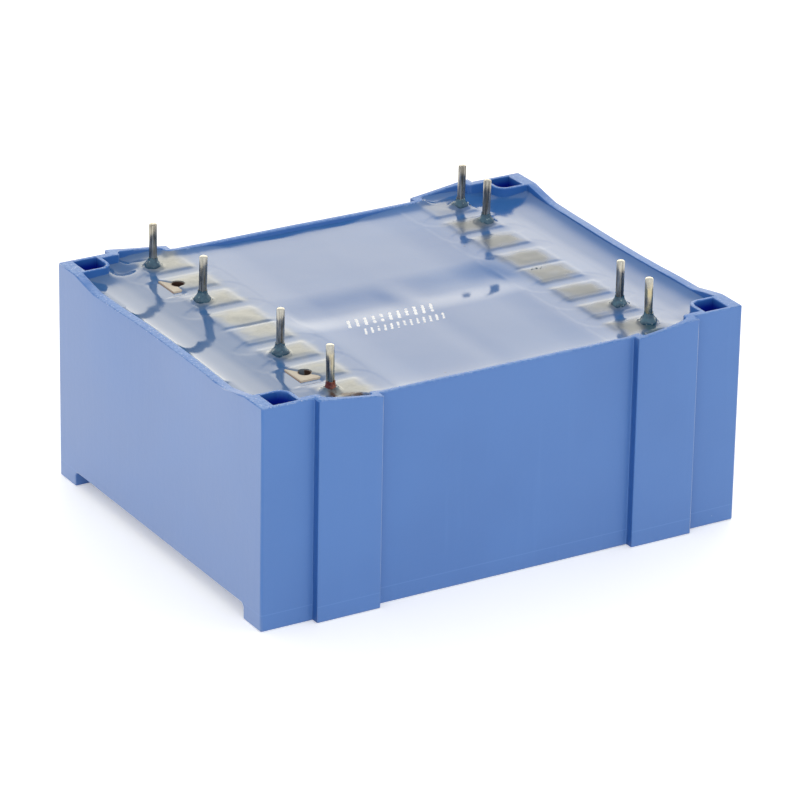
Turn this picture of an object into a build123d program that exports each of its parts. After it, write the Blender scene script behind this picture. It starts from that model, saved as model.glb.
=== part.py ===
from build123d import *
import os

# Potted flat transformer for a printed circuit board, lying on its closed face with its pins up.
# Millimetres. The origin is the middle of the footprint, on the surface that the case stands on.
# +Z points along the pins. +X runs along the long side, from the primary pins to the secondary pins.

os.makedirs("parts", exist_ok=True)

# How far a cutting shape reaches past the face that it opens
overrun = 1.0

# Core: U and I sheets of one limb width, stacked flat
limb_width = 10.0
window_length = 30.0
window_width = 10.0
sheet_thickness = 0.5
sheet_count = 21
varnish = 0.02

# Bobbins: a tube round each limb, two end flanges, a divider and a slotted bar of terminals
core_clearance = 0.1
tube_wall = 0.8
end_clearance = 0.15
flange_thickness = 0.9
divider_thickness = 1.0
flange_margin = 0.25
flange_radius = 0.6
bobbin_gap = 0.4
bar_overhang = 1.4
bar_end_inset = 0.5
block_rise = 0.95
block_chamfer = 0.15
slot_width = 1.6
slot_depth = 2.3
groove_width = 0.6
well_radius = 0.6
well_depth = 0.7

# Windings and their tape
primary_build = 2.45
secondary_build = 2.2
winding_radius = 1.8
winding_side_gap = 0.1
tape_thickness = 0.15
bare_strip = 0.9

# Winding ends, laid through the slots to the pins
primary_wire = 0.16
secondary_wire = 0.3
wire_lift = 0.02
wire_bend = 0.6
solder_height = 0.45
solder_shoulder = 0.06

# Terminals from rear to front: P carries a pin, O is an open well, - is a well that the resin fills
primary_row = "POP--POP"
secondary_row = "PP----PP"

# Pins: round wire, swaged to a square shank where it is pressed into the bar
terminal_pitch = 5.0
row_inset = 2.5
pin_diameter = 0.8
shank_side = 0.7
pin_fit = 0.01
pin_floor = 1.0
pin_reach = 3.55
pin_chamfer = 0.18

# Case
end_wall = 1.0
side_wall = 0.9
floor_thickness = 1.0
end_gap = 0.5
side_gap = 0.1
recess_depth = 1.55
recess_radius = 0.4
rail_width = 3.4
corner_radius = 0.35
pad_width = 6.9
pad_proud = 0.85
pad_radius = 0.3
pad_bend = 0.4
step_share = 0.45
pocket_side = 2.55
pocket_depth = 12.0
pocket_radius = 0.9
pocket_end_wall = 1.45
pocket_side_wall = 0.5
post_wall = 0.42
post_radius = 1.3

# Levels above the terminal blocks and the resin
block_show = 0.3
freeboard = 0.6
seat_rise = 0.85
end_rim_drop = 0.7
end_ramp = 4.0

# Terminals on one bobbin: half a row
terminal_count = len(primary_row) // 2

# Core, worked out
core_length = window_length + 2 * limb_width
core_width = window_width + 2 * limb_width
stack_height = sheet_count * sheet_thickness
limb_y = (window_width + limb_width) / 2

# Bobbin section round one limb
tube_width = limb_width + 2 * (core_clearance + tube_wall)
tube_height = stack_height + 2 * (core_clearance + tube_wall)
coil_build = max(primary_build, secondary_build) + tape_thickness
coil_width = tube_width + 2 * coil_build
flange_outer_x = window_length / 2 - end_clearance
flange_inner_x = flange_outer_x - flange_thickness
bobbin_inner_y = bobbin_gap / 2
bobbin_outer_y = max(terminal_count * terminal_pitch - bar_end_inset, limb_y + coil_width / 2 + flange_margin)
bobbin_width = bobbin_outer_y - bobbin_inner_y
bobbin_y = (bobbin_outer_y + bobbin_inner_y) / 2
flange_height = tube_height + 2 * (coil_build + flange_margin)

# Levels, from the surface that the case stands on
floor_top = recess_depth + floor_thickness
core_z = floor_top + flange_height / 2
core_bottom = core_z - stack_height / 2
flange_top = floor_top + flange_height
block_top = flange_top + block_rise
bar_bottom = core_z + stack_height / 2 + core_clearance
well_bottom = block_top - well_depth
resin_top = block_top - block_show
long_rim = resin_top + freeboard
seat_height = long_rim + seat_rise
end_rim = seat_height - end_rim_drop

# Pins, in rows over the yokes, a little way out from the ends of the window
row_x = window_length / 2 + row_inset
row_spacing = 2 * row_x
pin_radius = pin_diameter / 2
shank_radius = shank_side / 2 * 2**0.5
pin_bottom = bar_bottom + pin_floor
shank_top = block_top + solder_height
pin_top = seat_height + pin_reach
terminal_ys = [(index + 0.5) * terminal_pitch for index in range(terminal_count)]
slot_ys = [index * terminal_pitch for index in range(1, terminal_count)]

# Case, worked out
inner_length = core_length + 2 * end_gap
inner_width = 2 * (bobbin_outer_y + side_gap)
case_length = inner_length + 2 * end_wall
case_width = inner_width + 2 * side_wall
pad_inner_x = row_x - pad_width / 2
pad_outer_x = row_x + pad_width / 2
pocket_x = case_length / 2 - pocket_end_wall - pocket_side / 2
pocket_y = case_width / 2 - pocket_side_wall - pocket_side / 2
post_inner_x = pocket_x - pocket_side / 2 - post_wall
post_inner_y = pocket_y - pocket_side / 2 - post_wall
recess_width = case_width - 2 * rail_width
step_limit = pad_proud * step_share

upright = (Align.CENTER, Align.CENTER, Align.MIN)


def terminals(mark):
    """Row, x and y of each terminal with this mark: the primary row (-1), then the secondary one (1)."""
    places = []
    for row, marks in ((-1, primary_row), (1, secondary_row)):
        for index, letter in enumerate(marks):
            if letter == mark:
                places.append((row, row * row_x, (terminal_count - 0.5 - index) * terminal_pitch))
    return places


# Plan of the case outside: a rectangle with a pad at each end of both long walls
with BuildSketch() as outer_plan:
    Rectangle(case_length, case_width)
    fillet(outer_plan.vertices(), radius=corner_radius)
    with GridLocations(row_spacing, case_width, 2, 2):
        Rectangle(pad_width, 2 * pad_proud)
    pad_corners = outer_plan.vertices().filter_by(lambda v: abs(v.X) < post_inner_x)
    fillet(pad_corners, radius=min(pad_radius, step_limit))

# Plan of the hollow: it follows the pads at one wall thickness and goes round the corner posts
with BuildSketch(Plane.XY.offset(floor_top)) as hollow_plan:
    Rectangle(inner_length, inner_width)
    with GridLocations(row_spacing, inner_width, 2, 2):
        Rectangle(pad_width - 2 * side_wall, 2 * pad_proud)
    bends = hollow_plan.vertices().filter_by(lambda v: abs(v.X) < post_inner_x)
    fillet(bends, radius=min(pad_bend, step_limit))
    post_reach_x = inner_length / 2 - post_inner_x + post_radius
    post_reach_y = inner_width / 2 - post_inner_y + post_radius
    with GridLocations(2 * post_inner_x + post_reach_x, 2 * post_inner_y + post_reach_y, 2, 2):
        RectangleRounded(post_reach_x, post_reach_y, post_radius, mode=Mode.SUBTRACT)

# Plan of the four screw pockets: square, with the corner towards the middle rounded
with BuildSketch(Plane.XY.offset(seat_height)) as pocket_plan:
    with Locations((pocket_x, pocket_y)):
        Rectangle(pocket_side, pocket_side)
    fillet(pocket_plan.vertices().sort_by_distance((0, 0, seat_height))[0], radius=pocket_radius)
    mirror(about=Plane.YZ)
    mirror(about=Plane.XZ)

# Case: moulded in one piece
with BuildPart() as case:
    extrude(outer_plan.sketch, amount=seat_height)
    extrude(hollow_plan.sketch, amount=seat_height - floor_top + overrun, mode=Mode.SUBTRACT)
    extrude(pocket_plan.sketch, amount=-pocket_depth, mode=Mode.SUBTRACT)
    # The long rims ramp down over the width of the pads
    with BuildSketch(Plane.XZ):
        with BuildLine():
            Polyline(
                (-pad_outer_x, seat_height),
                (-pad_inner_x, long_rim),
                (pad_inner_x, long_rim),
                (pad_outer_x, seat_height),
                (pad_outer_x, seat_height + overrun),
                (-pad_outer_x, seat_height + overrun),
                close=True,
            )
        make_face()
    extrude(amount=case_width / 2 + pad_proud + overrun, both=True, mode=Mode.SUBTRACT)
    # The short rims ramp down beside the posts
    with BuildSketch(Plane.YZ):
        with BuildLine():
            Polyline(
                (-post_inner_y, seat_height),
                (end_ramp - post_inner_y, end_rim),
                (post_inner_y - end_ramp, end_rim),
                (post_inner_y, seat_height),
                (post_inner_y, seat_height + overrun),
                (-post_inner_y, seat_height + overrun),
                close=True,
            )
        make_face()
    extrude(amount=case_length / 2 + overrun, both=True, mode=Mode.SUBTRACT)
    # The closed face lies back between two rails
    with BuildSketch(Plane.YZ) as recess:
        Rectangle(recess_width, 2 * recess_depth)
        fillet(recess.vertices(), radius=recess_radius)
    extrude(amount=case_length / 2 + overrun, both=True, mode=Mode.SUBTRACT)

# U sheets: a yoke and two limbs, turned end for end from one sheet to the next
with BuildPart() as u_laminations:
    for index in range(sheet_count):
        turn = 1 if index % 2 else -1
        with BuildSketch(Plane.XY.offset(core_bottom + index * sheet_thickness + varnish / 2)):
            Rectangle(core_length, core_width)
            Rectangle(window_length, window_width, mode=Mode.SUBTRACT)
            with Locations((-turn * (core_length - limb_width) / 2, 0)):
                Rectangle(limb_width, core_width, mode=Mode.SUBTRACT)
        extrude(amount=sheet_thickness - varnish)

# I sheets: they close the open end of each U
with BuildPart() as i_laminations:
    for index in range(sheet_count):
        turn = 1 if index % 2 else -1
        with BuildSketch(Plane.XY.offset(core_bottom + index * sheet_thickness + varnish / 2)):
            with Locations((-turn * (core_length - limb_width) / 2, 0)):
                Rectangle(limb_width, core_width)
        extrude(amount=sheet_thickness - varnish)

# Envelope of the whole stack, for the resin to flow round
with BuildPart() as core_envelope:
    with BuildSketch(Plane.XY.offset(core_bottom)):
        Rectangle(core_length, core_width)
        Rectangle(window_length, window_width, mode=Mode.SUBTRACT)
    extrude(amount=stack_height)

# Rear bobbin: the front one is the same moulding turned round
with BuildPart() as bobbin_rear:
    # Tube round the limb
    with BuildSketch(Plane.YZ):
        with Locations((limb_y, core_z)):
            Rectangle(tube_width, tube_height)
    extrude(amount=flange_outer_x, both=True)
    # End flanges and the divider between the chambers
    for start, thickness in (
        (-flange_outer_x, flange_thickness),
        (flange_inner_x, flange_thickness),
        (-divider_thickness / 2, divider_thickness),
    ):
        with BuildSketch(Plane.YZ.offset(start)):
            with Locations((bobbin_y, core_z)):
                RectangleRounded(bobbin_width, flange_height, flange_radius)
        extrude(amount=thickness)
    # Terminal bars over the yokes
    bar_length = row_x + bar_overhang - flange_inner_x
    with Locations(
        (flange_inner_x + bar_length / 2, bobbin_y, bar_bottom),
        (-flange_inner_x - bar_length / 2, bobbin_y, bar_bottom),
    ):
        Box(bar_length, bobbin_width, block_top - bar_bottom, align=upright)
    # Slots for the winding ends divide each bar into blocks
    slot_places = [(side * (flange_inner_x + bar_length / 2), y) for side in (-1, 1) for y in slot_ys]
    with BuildSketch(Plane.XY.offset(block_top)):
        with Locations(slot_places):
            Rectangle(bar_length + 2 * overrun, slot_width)
    extrude(amount=-slot_depth, mode=Mode.SUBTRACT)
    chamfer(bobbin_rear.faces().sort_by(Axis.Z)[-2 * terminal_count:].edges(), length=block_chamfer)
    # A groove leads each wire from its slot to the well round the pin
    groove_places = [(side * row_x, y - terminal_pitch / 4) for side in (-1, 1) for y in terminal_ys]
    with BuildSketch(Plane.XY.offset(block_top)):
        with Locations(groove_places):
            Rectangle(groove_width, terminal_pitch / 2)
    extrude(amount=-well_depth, mode=Mode.SUBTRACT)
    with Locations([(side * row_x, y, block_top) for side in (-1, 1) for y in terminal_ys]):
        CounterBoreHole(
            radius=shank_radius + pin_fit,
            counter_bore_radius=well_radius,
            counter_bore_depth=well_depth,
            depth=block_top - pin_bottom,
        )
    # Passage for the limb
    with BuildSketch(Plane.YZ):
        with Locations((limb_y, core_z)):
            Rectangle(limb_width + 2 * core_clearance, stack_height + 2 * core_clearance)
    extrude(amount=row_spacing, both=True, mode=Mode.SUBTRACT)

with BuildPart() as bobbin_front:
    add(bobbin_rear.part.rotate(Axis.Z, 180))

bobbins = {"rear": bobbin_rear, "front": bobbin_front}

# Windings: rounded rings that fill the chambers, the primary ones beside the primary pins


def make_winding(side, row, build):
    """Winding round the limb on one side, in the chamber of one row of pins."""
    chamber_inner = divider_thickness / 2 + winding_side_gap
    chamber_outer = flange_inner_x - winding_side_gap
    with BuildPart() as winding:
        with BuildSketch(Plane.YZ.offset(row * chamber_inner)):
            with Locations((side * limb_y, core_z)):
                RectangleRounded(tube_width + 2 * build, tube_height + 2 * build, winding_radius)
                Rectangle(tube_width, tube_height, mode=Mode.SUBTRACT)
        extrude(amount=row * (chamber_outer - chamber_inner))
    return winding


def make_tape(side, row, build):
    """Tape round a winding, short of the flange where the winding ends come off."""
    tape_inner = divider_thickness / 2 + winding_side_gap
    tape_outer = flange_inner_x - winding_side_gap - bare_strip
    with BuildPart() as tape:
        with BuildSketch(Plane.YZ.offset(row * tape_inner)):
            with Locations((side * limb_y, core_z)):
                full_width = tube_width + 2 * build
                full_height = tube_height + 2 * build
                RectangleRounded(
                    full_width + 2 * tape_thickness,
                    full_height + 2 * tape_thickness,
                    winding_radius + tape_thickness,
                )
                RectangleRounded(full_width, full_height, winding_radius, mode=Mode.SUBTRACT)
        extrude(amount=row * (tape_outer - tape_inner))
    return tape


def make_pin(x, y):
    """Pin: the square shank in the bar and its solder, then the round free length with a broken tip."""
    with BuildPart() as pin:
        with Locations((x, y, pin_bottom)):
            Box(shank_side, shank_side, shank_top - pin_bottom, align=upright)
        with Locations((x, y, shank_top)):
            Cylinder(pin_radius, pin_top - shank_top, align=upright)
        chamfer(pin.edges().sort_by(Axis.Z)[-1], length=pin_chamfer)
    return pin


def make_lead(row, x, y, build, wire):
    """End of a winding: over the winding, through the slot and the groove, soldered round the pin."""
    side = 1 if y > 0 else -1
    slot_y = y - side * terminal_pitch / 2
    start_x = row * (flange_inner_x - winding_side_gap - bare_strip / 2)
    winding_top = core_z + tube_height / 2 + build
    groove_z = well_bottom + wire / 2 + wire_lift
    start = (start_x, slot_y, winding_top + wire / 2 + wire_lift)
    with BuildPart() as lead:
        with BuildLine() as route:
            FilletPolyline(start, (x, slot_y, groove_z), (x, y, groove_z), radius=wire_bend)
        with BuildSketch(Plane(origin=route.line @ 0, z_dir=route.line % 0)):
            Circle(wire / 2)
        sweep()
        with Locations((x, y, well_bottom)):
            Cylinder(well_radius, well_depth, align=upright)
        with Locations((x, y, block_top)):
            Cone(well_radius, shank_radius + solder_shoulder, solder_height, align=upright)
        with Locations((x, y, well_bottom)):
            Box(shank_side, shank_side, well_depth + solder_height, align=upright, mode=Mode.SUBTRACT)
    return lead


sides = {"rear": 1, "front": -1}
windings = {}
tapes = {}
for word, side in sides.items():
    windings[f"primary_winding_{word}"] = make_winding(side, -1, primary_build)
    windings[f"secondary_winding_{word}"] = make_winding(side, 1, secondary_build)
    tapes[f"primary_tape_{word}"] = make_tape(side, -1, primary_build)
    tapes[f"secondary_tape_{word}"] = make_tape(side, 1, secondary_build)

pins = {}
leads = {}
for number, (row, x, y) in enumerate(terminals("P"), start=1):
    build, wire = (primary_build, primary_wire) if row < 0 else (secondary_build, secondary_wire)
    pins[f"pin_{number}"] = make_pin(x, y)
    leads[f"lead_{number}"] = make_lead(row, x, y, build, wire)

# Resin: poured in last, so it is the hollow less all that stands in it
with BuildPart() as potting_resin:
    extrude(hollow_plan.sketch, amount=resin_top - floor_top)
    poured_round = [core_envelope, *bobbins.values(), *windings.values(), *tapes.values()]
    poured_round += [*pins.values(), *leads.values()]
    for piece in poured_round:
        add(piece.part, mode=Mode.SUBTRACT)
    # None ran in between the limbs and the tubes, or between the shanks and the bars
    with Locations((0, limb_y, core_z), (0, -limb_y, core_z)):
        Box(
            2 * flange_outer_x,
            limb_width + 2 * core_clearance,
            stack_height + 2 * core_clearance,
            mode=Mode.SUBTRACT,
        )
    for row, x, y in terminals("P"):
        with Locations((x, y, pin_bottom)):
            Cylinder(well_radius, well_bottom - pin_bottom, align=upright, mode=Mode.SUBTRACT)
    # Two of the empty wells stayed open
    for row, x, y in terminals("O"):
        with Locations((x, y, pin_bottom)):
            Cylinder(well_radius, block_top - pin_bottom, align=upright, mode=Mode.SUBTRACT)

# One file for each piece
pieces = {"case": case, "potting_resin": potting_resin, "u_laminations": u_laminations}
pieces["i_laminations"] = i_laminations
pieces |= {f"bobbin_{word}": bobbin for word, bobbin in bobbins.items()}
pieces |= windings | tapes | pins | leads
for label, piece in pieces.items():
    piece.part.label = label
    export_step(piece.part, f"parts/{label}.step")
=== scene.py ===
# %% [markdown]
# # A potted transformer for a circuit board
# The real object is a shallow moulded case with a square post in each corner. A core with two
# bobbins is laid in it, dark blue casting resin is poured over them, and eight tinned pins stand
# out of the resin. It lies on its closed face here, as on a bench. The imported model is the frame:
# each thing below sits where the solids say, and only the looks are added.

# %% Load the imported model
import bpy
import bmesh
import math
import random
from mathutils import Matrix, Vector, noise


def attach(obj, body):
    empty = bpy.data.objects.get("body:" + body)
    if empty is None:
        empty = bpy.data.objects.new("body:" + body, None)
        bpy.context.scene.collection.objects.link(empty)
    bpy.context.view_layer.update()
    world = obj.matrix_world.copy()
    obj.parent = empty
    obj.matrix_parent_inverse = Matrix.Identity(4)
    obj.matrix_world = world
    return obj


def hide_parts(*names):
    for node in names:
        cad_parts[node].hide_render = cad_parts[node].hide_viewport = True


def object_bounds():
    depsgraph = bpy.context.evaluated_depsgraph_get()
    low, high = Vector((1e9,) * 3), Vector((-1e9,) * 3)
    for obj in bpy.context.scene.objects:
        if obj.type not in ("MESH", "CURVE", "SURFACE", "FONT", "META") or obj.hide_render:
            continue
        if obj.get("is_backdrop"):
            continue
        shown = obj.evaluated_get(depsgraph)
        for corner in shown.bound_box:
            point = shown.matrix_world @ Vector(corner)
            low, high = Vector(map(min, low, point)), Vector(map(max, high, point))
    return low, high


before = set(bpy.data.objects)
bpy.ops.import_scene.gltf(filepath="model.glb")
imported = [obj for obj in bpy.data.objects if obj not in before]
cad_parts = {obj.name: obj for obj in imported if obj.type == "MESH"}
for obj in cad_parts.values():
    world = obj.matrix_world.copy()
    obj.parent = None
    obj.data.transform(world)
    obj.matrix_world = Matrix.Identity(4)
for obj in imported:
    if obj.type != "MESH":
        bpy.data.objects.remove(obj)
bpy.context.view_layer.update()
mm = 0.001

# %% [markdown]
# ## The camera
# The photograph is taken from the front left, a little over 20 degrees above the table, with a long
# lens. A camera is a place and three axes: what is to its right, what is above it, and what lies
# behind it. Written as the columns of a matrix they give the view with nothing left to aim.

# %% Camera
camera_data = bpy.data.cameras.new("camera")
camera_data.sensor_width = 36
camera_data.lens = 223.24
camera = bpy.data.objects.new("camera", camera_data)
bpy.context.scene.collection.objects.link(camera)
camera_place = Vector((-0.22986249, -0.38272200, 0.20316357))
camera_right = Vector((0.8604562, -0.50923404, 0.01719937))
camera_up = Vector((0.18835467, 0.34926614, 0.91789742))
camera_back = Vector((-0.47343178, -0.78657095, 0.39644482))
camera.matrix_world = Matrix((camera_right, camera_up, camera_back)).transposed().to_4x4()
camera.matrix_world.translation = camera_place
bpy.context.scene.camera = camera
print("camera stands", round(camera_place.length, 3), "m from the origin")

# %% [markdown]
# ## Helpers for modelling by hand
# Blender's operators act on all that is selected, so each step first drops every selection. The
# helpers below add a block or a cylinder, pick vertices, edges or faces by a test on their place,
# cut along planes, apply modifiers, and join or cut with a second piece. All sizes are given in
# millimetres, and all pieces keep their origin at that of the part.

# %% Helpers
def only(piece):
    """Make one piece the active one, and the only one that is selected."""
    bpy.ops.object.select_all(action="DESELECT")
    piece.select_set(True)
    bpy.context.view_layer.objects.active = piece


def settle(name):
    """Name the piece that was just added, and move its place and its scale into its mesh."""
    piece = bpy.context.object
    piece.name = name
    bpy.ops.object.transform_apply(location=True, rotation=True, scale=True)
    return piece


def add_block(name, low, high):
    """A cube primitive stretched between two corners, with its place in its mesh."""
    bpy.ops.object.select_all(action="DESELECT")
    low, high = Vector(low) * mm, Vector(high) * mm
    bpy.ops.mesh.primitive_cube_add(size=1, location=(low + high) / 2, scale=high - low)
    return settle(name)


def add_cylinder(name, vertices, radius, low, high, x=0.0, y=0.0):
    """An upright cylinder primitive between two heights, with its place in its mesh."""
    bpy.ops.object.select_all(action="DESELECT")
    bpy.ops.mesh.primitive_cylinder_add(vertices=vertices, radius=radius * mm, depth=(high - low) * mm,
                                        location=(x * mm, y * mm, (low + high) / 2 * mm))
    return settle(name)


def pick(piece, kind, test):
    """Enter edit mode with only the vertices, edges or faces selected that pass the test."""
    only(piece)
    bpy.ops.object.mode_set(mode="EDIT")
    bpy.ops.mesh.select_mode(type=kind)
    bpy.ops.mesh.select_all(action="DESELECT")
    mesh = bmesh.from_edit_mesh(piece.data)
    for item in {"VERT": mesh.verts, "EDGE": mesh.edges, "FACE": mesh.faces}[kind]:
        if test(item):
            item.select_set(True)
    mesh.select_flush_mode()
    bmesh.update_edit_mesh(piece.data)


def leave_edit():
    """Go back to object mode, which writes the edits to the mesh."""
    bpy.ops.object.mode_set(mode="OBJECT")


def slice_at(piece, axis, places):
    """Cut a piece along planes that stand square to one axis, without taking anything away."""
    normal = Vector([float(axis == i) for i in range(3)])
    for place in places:
        pick(piece, "FACE", lambda face: True)
        bpy.ops.mesh.bisect(plane_co=normal * place * mm, plane_no=normal)
        leave_edit()


def modify(piece, kind, **settings):
    """Add a modifier with its settings, and apply it."""
    only(piece)
    modifier = piece.modifiers.new("step", kind)
    for key, value in settings.items():
        setattr(modifier, key, value)
    bpy.ops.object.modifier_apply(modifier=modifier.name)


def combine(piece, tool, operation="DIFFERENCE"):
    """Cut with a second piece, or keep what both share, and remove the second."""
    modify(piece, "BOOLEAN", operation=operation, object=tool, solver="EXACT")
    bpy.data.objects.remove(tool)


def smooth(piece, angle):
    """Shade a piece smooth, except across edges sharper than an angle in degrees."""
    only(piece)
    bpy.ops.object.shade_smooth_by_angle(angle=math.radians(angle))


def upright(edge):
    """True for an edge that stands straight up."""
    a, b = (vert.co for vert in edge.verts)
    return (a.xy - b.xy).length < 1e-6 and abs(a.z - b.z) > mm


# %% [markdown]
# ## The case
# The case is one moulding with 1 mm walls. Its plan is a rectangle with a shallow pad at each end
# of both long walls, and the wall is as thick at the pads as between them, so the hollow has the
# same steps. The way to model a step like that by hand is to cut the long faces across and to
# extrude the strip between two cuts. The block for the hollow is made in the same way later on.

# %% Case: outside
half_length, half_width, seat_height = 26.5, 20.5, 22.65
pad_inner, pad_outer, pad_proud = 14.05, 20.95, 0.85
end_wall, side_wall, floor_top = 1.0, 0.9, 2.55
wall_inner_x, wall_inner_y = half_length - end_wall, half_width - side_wall
step_inner, step_outer = pad_inner + side_wall, pad_outer - side_wall
corner_round, step_round, overrun = 0.25, 0.38, 1.0


def stepped_block(name, reach_x, reach_y, inner, outer, low, high, round_corner, round_step):
    """A block with a step outwards between inner and outer at both ends of its long sides."""
    block = add_block(name, (-reach_x, -reach_y, low), (reach_x, reach_y, high))
    slice_at(block, 0, (-outer, -inner, inner, outer))
    for side in (-1, 1):
        pick(block, "FACE", lambda face: face.normal.y * side > 0.9
             and inner < abs(face.calc_center_median().x) / mm < outer)
        bpy.ops.mesh.extrude_region_move(TRANSFORM_OT_translate={"value": (0, side * pad_proud * mm, 0)})
        leave_edit()
    if round_corner:
        pick(block, "EDGE", lambda edge: upright(edge) and abs(edge.verts[0].co.x) / mm > outer + 0.1)
        bpy.ops.mesh.bevel(offset=round_corner * mm, segments=5)
        leave_edit()
    if round_step:
        pick(block, "EDGE", lambda edge: upright(edge) and edge.calc_face_angle(0) > 1.2
             and inner - 0.1 < abs(edge.verts[0].co.x) / mm < outer + 0.1)
        bpy.ops.mesh.bevel(offset=round_step * mm, segments=4)
        leave_edit()
    return block


case_piece = stepped_block("case_moulding", half_length, half_width, pad_inner, pad_outer,
                           0, seat_height, corner_round, 0)
print("case outside has", len(case_piece.data.polygons), "faces")

# %% [markdown]
# ## Corner posts, pockets and rims
# In each corner stands a post with a square blind pocket for a screw. The posts are what the hollow
# leaves out, so rounded blocks are cut from the hollow first. The pockets are cut from the case,
# each with its inner corner rounded. The rims dip between the posts: a wide block whose underside is
# stepped up towards its ends takes the ramps off in one cut for each direction.

# %% Case: posts, pockets, rims and the recess below
post_x, post_y, post_radius = 22.08, 17.03, 1.3
pocket_x, pocket_y, pocket_half, pocket_depth, pocket_radius = 23.775, 18.725, 1.275, 12.0, 0.9
long_rim, end_rim = 21.8, 21.95
ramp_from, ramp_to, end_ramp_from = pad_inner - 0.5, pad_outer - 0.4, post_y - 4.0
cutter_reach = 30
rail_inner, recess_depth, recess_radius = 17.1, 1.55, 0.4
corners = [(sx, sy) for sx in (-1, 1) for sy in (-1, 1)]


def corner_block(name, sx, sy, near, far, low, high, radius):
    """A block in one corner of the plan, rounded on its upright edge that faces the middle."""
    xs, ys = sorted((sx * near[0], sx * far[0])), sorted((sy * near[1], sy * far[1]))
    block = add_block(name, (xs[0], ys[0], low), (xs[1], ys[1], high))
    inner = Vector((sx * near[0], sy * near[1]))
    pick(block, "EDGE", lambda edge: upright(edge) and (edge.verts[0].co.xy / mm - inner).length < 0.01)
    bpy.ops.mesh.bevel(offset=radius * mm, segments=8)
    leave_edit()
    return block


def hollow_block(name, low):
    """The room inside the case from one height up, which leaves the four posts out."""
    block = stepped_block(name, wall_inner_x, wall_inner_y, step_inner, step_outer,
                          low, seat_height + overrun, 0, step_round)
    for sx, sy in corners:
        combine(block, corner_block("post_room", sx, sy, (post_x, post_y), (half_length, half_width + 2),
                                    low - overrun, seat_height + 2 * overrun, post_radius))
    return block


combine(case_piece, hollow_block("hollow", floor_top))
for sx, sy in corners:
    combine(case_piece, corner_block("pocket", sx, sy, (pocket_x - pocket_half, pocket_y - pocket_half),
                                     (pocket_x + pocket_half, pocket_y + pocket_half),
                                     seat_height - pocket_depth, seat_height + overrun, pocket_radius))

rim_cuts = (0, long_rim, ramp_from, ramp_to), (1, end_rim, end_ramp_from, post_y)
for axis, rim, flat, ramp_top in rim_cuts:
    cutter = add_block("rim_cut", (-cutter_reach, -cutter_reach, rim),
                       (cutter_reach, cutter_reach, seat_height + overrun))
    slice_at(cutter, axis, (-ramp_top, -flat, flat, ramp_top))
    pick(cutter, "VERT", lambda vert: vert.co.z / mm < rim + 0.1
         and abs(vert.co[axis]) / mm > ramp_top - 0.1)
    bpy.ops.transform.translate(value=(0, 0, (seat_height - rim) * mm))
    leave_edit()
    combine(case_piece, cutter)

recess = add_block("recess", (-cutter_reach, -rail_inner, -overrun),
                   (cutter_reach, rail_inner, recess_depth))
pick(recess, "EDGE", lambda edge: all(vert.co.z / mm > recess_depth - 0.1 for vert in edge.verts)
     and all(abs(abs(vert.co.y) / mm - rail_inner) < 0.1 for vert in edge.verts))
bpy.ops.mesh.bevel(offset=recess_radius * mm, segments=5)
leave_edit()
combine(case_piece, recess)
print("case has", len(case_piece.data.polygons), "faces after its cuts")

# %% [markdown]
# ## Soft edges and a little warp
# No moulded edge is sharp, and a long thin rim is never quite straight. The doubled points that the
# cuts leave are merged first, then a bevel rounds what is sharp. Cuts across the walls give points
# that can be moved: the short walls bow inwards at the top, where they shrank on cooling, the long
# walls get thinner towards their rims, and the rims wander by a few hundredths of a millimetre.

# %% Case: edges, bow and wander
pick(case_piece, "VERT", lambda vert: True)
bpy.ops.mesh.remove_doubles(threshold=0.002 * mm)
bpy.ops.mesh.dissolve_limited(angle_limit=math.radians(0.5))
leave_edit()
modify(case_piece, "BEVEL", width=0.13 * mm, segments=2, angle_limit=math.radians(35),
       use_clamp_overlap=False, harden_normals=True)
flat = end_ramp_from
slice_at(case_piece, 1, [-post_y, -flat - 2, *(flat * i / 8 for i in range(-8, 9)), flat + 2, post_y])
slice_at(case_piece, 0, range(-24, 25, 3))
slice_at(case_piece, 2, (4.0, 8.0, 12.0, 15.0, 18.0, 20.5))

wall_bow, wall_taper, taper_from = 0.34, 0.3, 20.4
fade_from, fade_to = 18.0, 20.0  # the taper ends before the posts


def ease_line(value, low, high):
    """A straight ramp from 0 at low to 1 at high."""
    return max(0.0, min(1.0, (value - low) / (high - low)))


def noise_of(x, y, z):
    """Smooth noise at a point, between about -1 and 1."""
    return noise.noise(Vector((x, y, z)))


def rim_height(x, y):
    """Height of the rim profile over the plan, before the warp."""
    along_x = ease_line(abs(x), ramp_from, ramp_to)
    along_y = ease_line(abs(y), end_ramp_from, post_y)
    return max(long_rim if abs(y) > wall_inner_y - 0.3 else 0.0,
               end_rim if abs(x) > wall_inner_x - 0.3 else 0.0,
               long_rim + (seat_height - long_rim) * along_x if abs(y) > 15 else 0.0,
               end_rim + (seat_height - end_rim) * along_y if abs(x) > 21 else 0.0)


def inner_face_y(x):
    """Distance from the middle to the inner face of a long wall or of a pad's wall, in mm."""
    return wall_inner_y + (pad_proud if step_inner - 0.01 < abs(x) < step_outer + 0.01 else 0.0)


def thinned(x, y, z):
    """How far the inner face of a long wall draws back near its top, in mm."""
    outer = half_width + (pad_proud if pad_inner + 0.2 < abs(x) < pad_outer - 0.2 else 0.0)
    if z < taper_from or not wall_inner_y - 0.05 < abs(y) < outer - 0.45:
        return 0.0
    share = 1 - ease_line(abs(x), fade_from, fade_to)
    return math.copysign(wall_taper * share * ease_line(z, taper_from, rim_height(x, inner_face_y(x))), y)


def wall_bow_at(x, y):
    """How far the top of a short wall is pushed inwards along X, in mm."""
    return -math.copysign(wall_bow * math.cos(min(1.0, abs(y) / post_y) * math.pi / 2) ** 2, x)


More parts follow.
